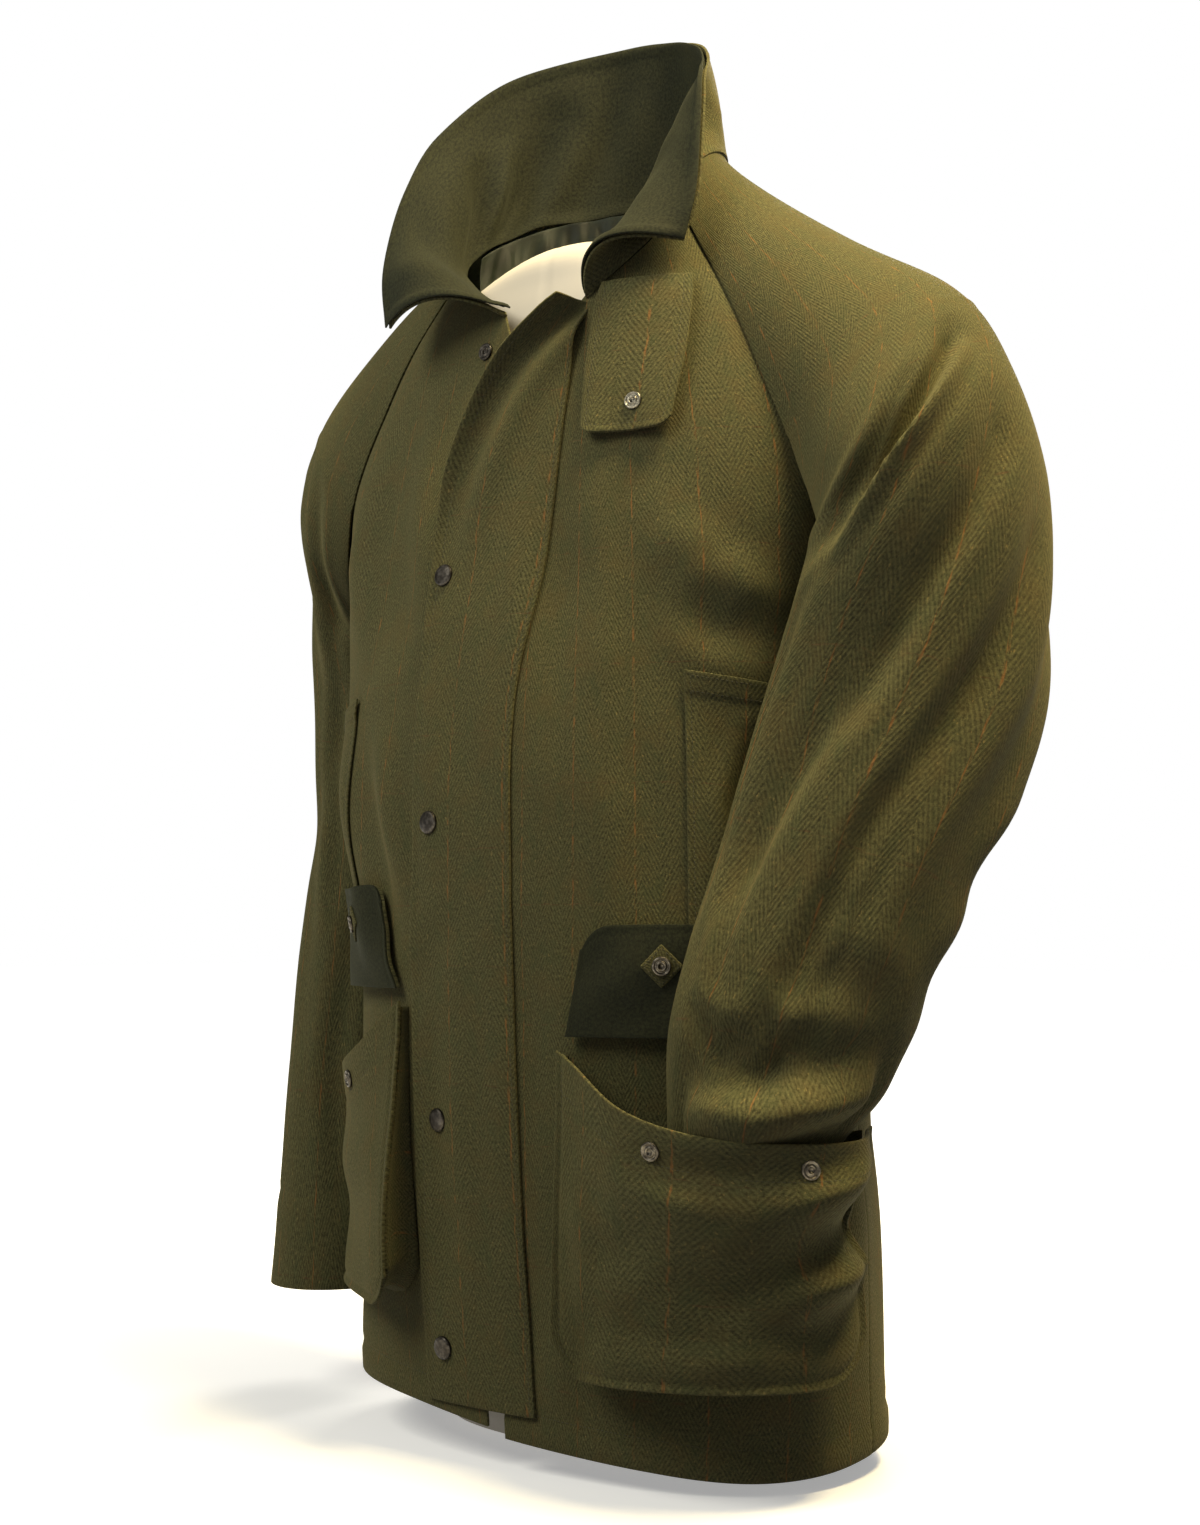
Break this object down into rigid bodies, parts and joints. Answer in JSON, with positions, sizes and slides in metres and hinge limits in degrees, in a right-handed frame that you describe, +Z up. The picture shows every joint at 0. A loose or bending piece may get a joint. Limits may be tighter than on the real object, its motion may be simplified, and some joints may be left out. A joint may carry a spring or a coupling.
{
  "type": "tweed jacket on dress form",
  "caption": "Tweed field jacket with turned-up collar, storm placket and bellows pockets, worn by a plain limbless dress form that it stands on.",
  "frame": {"origin": "centre of the dress form's flat base, where it stands", "axes": "+Z up, the jacket's front faces -Y, the wearer's left is +X"},
  "size_m": [0.633, 0.2898, 1.0042],
  "materials": {
    "tweed": "olive herringbone tweed with a faint rust check",
    "moleskin": "dark green moleskin",
    "satin": "dark green satin lining",
    "tape": "woven zip tape",
    "gunmetal": "dark press studs",
    "ivory": "smooth pale form"
  },
  "bodies": {
    "root": {"back": "tweed", "back_neck_lining": "satin", "collar_facing": "moleskin", "dress_form": "ivory", "flap_left": "tweed", "flap_lining_left": "moleskin", "flap_lining_right": "moleskin", "flap_patch_left_1": "tweed", "flap_patch_left_2": "tweed", "flap_patch_right_1": "tweed", "flap_patch_right_2": "tweed", "flap_right": "tweed", "flap_stud_left_1": "gunmetal", "flap_stud_left_2": "gunmetal", "flap_stud_right_1": "gunmetal", "flap_stud_right_2": "gunmetal", "front_left": "tweed", "front_right": "tweed", "gusset_left": "tweed", "gusset_right": "tweed", "neck_stud": "gunmetal", "placket": "tweed", "placket_cap_1": "gunmetal", "placket_cap_2": "gunmetal", "placket_cap_3": "gunmetal", "placket_cap_4": "gunmetal", "pocket_left": "tweed", "pocket_right": "tweed", "pocket_stud_left_1": "gunmetal", "pocket_stud_left_2": "gunmetal", "pocket_stud_right_1": "gunmetal", "pocket_stud_right_2": "gunmetal", "sleeve_left": "tweed", "sleeve_left_lower": "tweed", "sleeve_right": "tweed", "tab_stud": "gunmetal", "throat_tab": "tweed", "under_collar": "tweed", "warmer_left": "tweed", "warmer_right": "tweed", "zip_tape_left": "tape", "zip_tape_right": "tape"}
  },
  "joints": []
}
